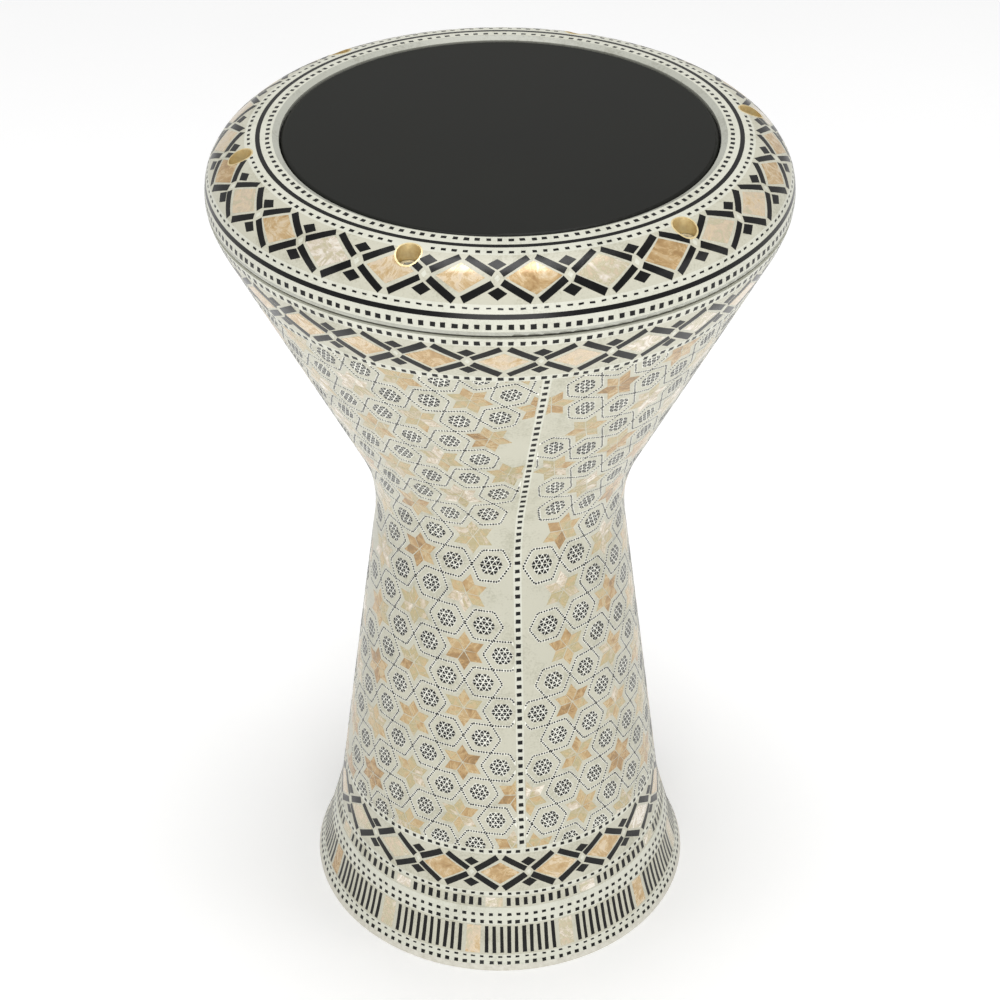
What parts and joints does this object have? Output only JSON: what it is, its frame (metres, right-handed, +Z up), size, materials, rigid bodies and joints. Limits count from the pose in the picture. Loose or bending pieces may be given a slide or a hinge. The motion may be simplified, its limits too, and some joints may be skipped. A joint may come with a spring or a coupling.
{
  "type": "goblet drum",
  "caption": "Goblet-shaped hand drum with an inlaid cast shell, open at the foot, and a flat film head under a tuning ring with recessed screws.",
  "frame": {"origin": "centre of the foot rim, on the surface that the drum stands on", "axes": "+Z up the drum's axis, towards the head; -Y towards the front"},
  "size_m": [0.2848, 0.2848, 0.4629],
  "materials": {
    "cast_aluminium": "bare sand-cast inside, lacquered off-white on the foot lip",
    "ring_aluminium": "machined cast",
    "resin": "off-white filled resin under clear lacquer",
    "strip_white": "white strip with black squares, under clear lacquer",
    "black_inlay": "glossy black",
    "pearl": "polished mother-of-pearl, tan to pink, under clear lacquer",
    "film": "satin black film",
    "hoop_aluminium": "extruded channel",
    "hoop_resin": "cast resin",
    "brass": "polished",
    "screw_steel": "bright zinc"
  },
  "bodies": {
    "shell": {"bowl_casting": "cast_aluminium", "stem_casting": "cast_aluminium", "shell_base_coat": "resin", "star_field_sheet": "resin", "field_seam_strip": "strip_white", "drumhead_film": "film", "drumhead_hoop": "hoop_aluminium", "hoop_resin": "hoop_resin", "foot_bead": "resin", "bowl_dot_strip_upper": "strip_white", "bowl_dot_strip_lower": "strip_white", "bowl_band_resin": "resin", "bowl_pearls": "pearl", "foot_band_resin": "resin", "foot_pearls": "pearl", "short_bar_band_resin": "resin", "short_bar_pearls": "pearl", "long_bar_band_resin": "resin", "long_bar_pearls": "pearl", "foot_dot_strip_1": "strip_white", "foot_dot_strip_2": "strip_white", "foot_dot_strip_3": "strip_white", "foot_dot_strip_4": "strip_white", "foot_dot_strip_5": "strip_white", "foot_dot_strip_6": "strip_white"},
    "tuning_ring": {"tuning_ring_casting": "ring_aluminium", "ring_base_coat": "resin", "well_liners": "brass", "screw_washers": "screw_steel", "ring_black_line_inner": "black_inlay", "ring_black_line_outer": "black_inlay", "ring_dot_strip_1": "strip_white", "ring_dot_strip_2": "strip_white", "ring_dot_strip_3": "strip_white", "ring_dot_strip_4": "strip_white", "ring_band_resin": "resin", "ring_pearls": "pearl"},
    "screw_1": {"tuning_screw_1": "screw_steel"},
    "screw_2": {"tuning_screw_2": "screw_steel"},
    "screw_3": {"tuning_screw_3": "screw_steel"},
    "screw_4": {"tuning_screw_4": "screw_steel"},
    "screw_5": {"tuning_screw_5": "screw_steel"},
    "screw_6": {"tuning_screw_6": "screw_steel"}
  },
  "joints": [
    {"name": "ring_travel", "type": "slide", "parent": "shell", "child": "tuning_ring", "axis": [0, 0, 1], "range_m": [0, 0.003]},
    {"name": "screw_turn_1", "type": "hinge", "parent": "tuning_ring", "child": "screw_1", "pos_m": [-0.03992, -0.11793, 0.448], "axis": [0, 0, 1], "range_deg": [0, 1081]},
    {"name": "screw_turn_2", "type": "hinge", "parent": "tuning_ring", "child": "screw_2", "pos_m": [0.08217, -0.09353, 0.448], "axis": [0, 0, 1], "range_deg": [0, 1081]},
    {"name": "screw_turn_3", "type": "hinge", "parent": "tuning_ring", "child": "screw_3", "pos_m": [0.12209, 0.0244, 0.448], "axis": [0, 0, 1], "range_deg": [0, 1081]},
    {"name": "screw_turn_4", "type": "hinge", "parent": "tuning_ring", "child": "screw_4", "pos_m": [0.03992, 0.11793, 0.448], "axis": [0, 0, 1], "range_deg": [0, 1081]},
    {"name": "screw_turn_5", "type": "hinge", "parent": "tuning_ring", "child": "screw_5", "pos_m": [-0.08217, 0.09353, 0.448], "axis": [0, 0, 1], "range_deg": [0, 1081]},
    {"name": "screw_turn_6", "type": "hinge", "parent": "tuning_ring", "child": "screw_6", "pos_m": [-0.12209, -0.0244, 0.448], "axis": [0, 0, 1], "range_deg": [0, 1081]}
  ],
  "couplings": [
    {"joint": "screw_turn_1", "follows": "ring_travel", "rad_per_m": 6283.2},
    {"joint": "screw_turn_2", "follows": "ring_travel", "rad_per_m": 6283.2},
    {"joint": "screw_turn_3", "follows": "ring_travel", "rad_per_m": 6283.2},
    {"joint": "screw_turn_4", "follows": "ring_travel", "rad_per_m": 6283.2},
    {"joint": "screw_turn_5", "follows": "ring_travel", "rad_per_m": 6283.2},
    {"joint": "screw_turn_6", "follows": "ring_travel", "rad_per_m": 6283.2}
  ]
}
